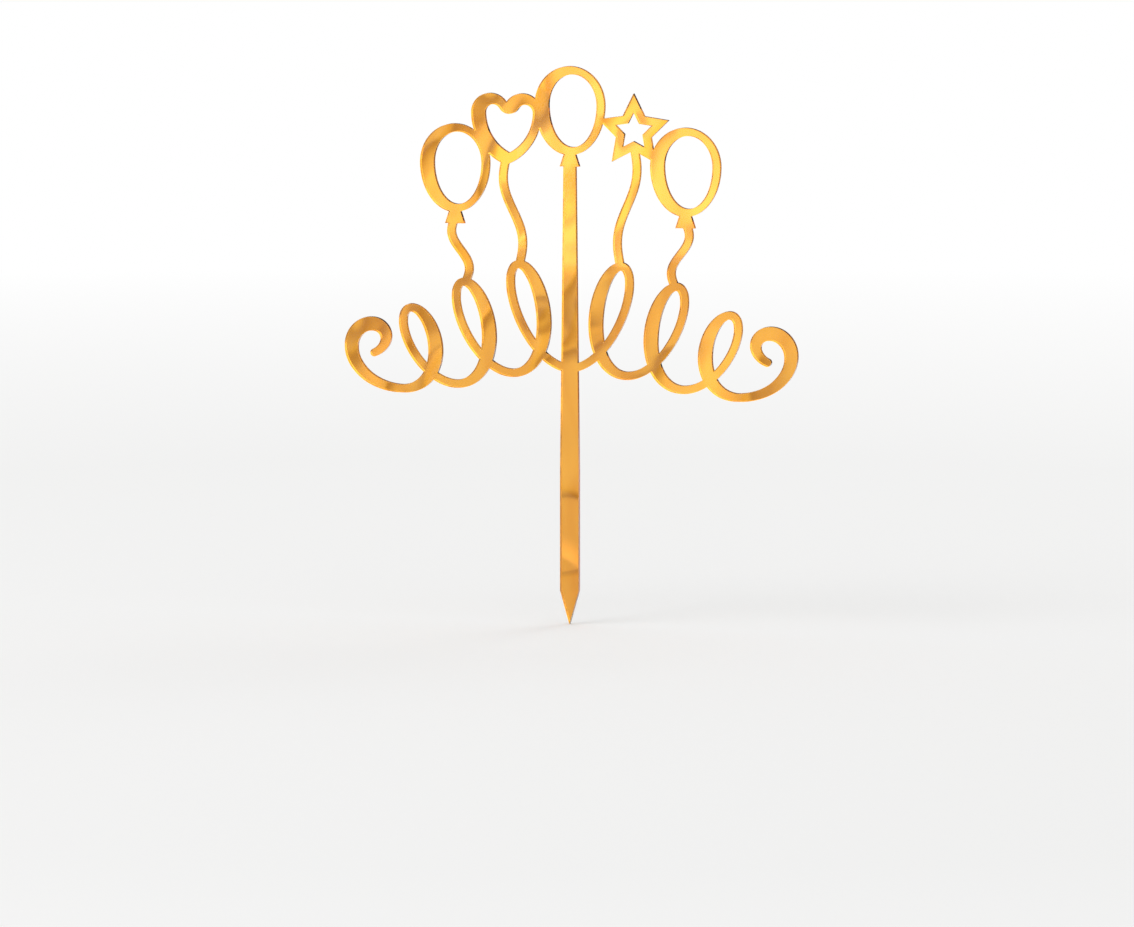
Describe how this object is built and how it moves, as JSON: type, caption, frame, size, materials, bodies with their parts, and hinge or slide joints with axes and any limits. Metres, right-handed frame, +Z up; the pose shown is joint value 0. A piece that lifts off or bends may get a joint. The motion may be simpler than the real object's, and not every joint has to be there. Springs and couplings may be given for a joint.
{
  "type": "cake topper",
  "caption": "Flat laser-cut gold mirror acrylic cake topper: balloons on strings above looped ribbons, on a pointed stake that pushes into a cake.",
  "frame": {"origin": "middle of the stake where it enters the cake, halfway through the sheet", "axes": "+Z up along the stake and mast, +X to the right as seen from the front, -Y towards the viewer, so the gold front faces -Y"},
  "size_m": [0.1496, 0.002, 0.18],
  "materials": {
    "gold_acrylic": "polished",
    "mirror_film": "mirror",
    "back_coat": "satin"
  },
  "bodies": {
    "root": {"acrylic_sheet": "gold_acrylic", "mirror_film": "mirror_film", "back_coat": "back_coat"}
  },
  "joints": []
}
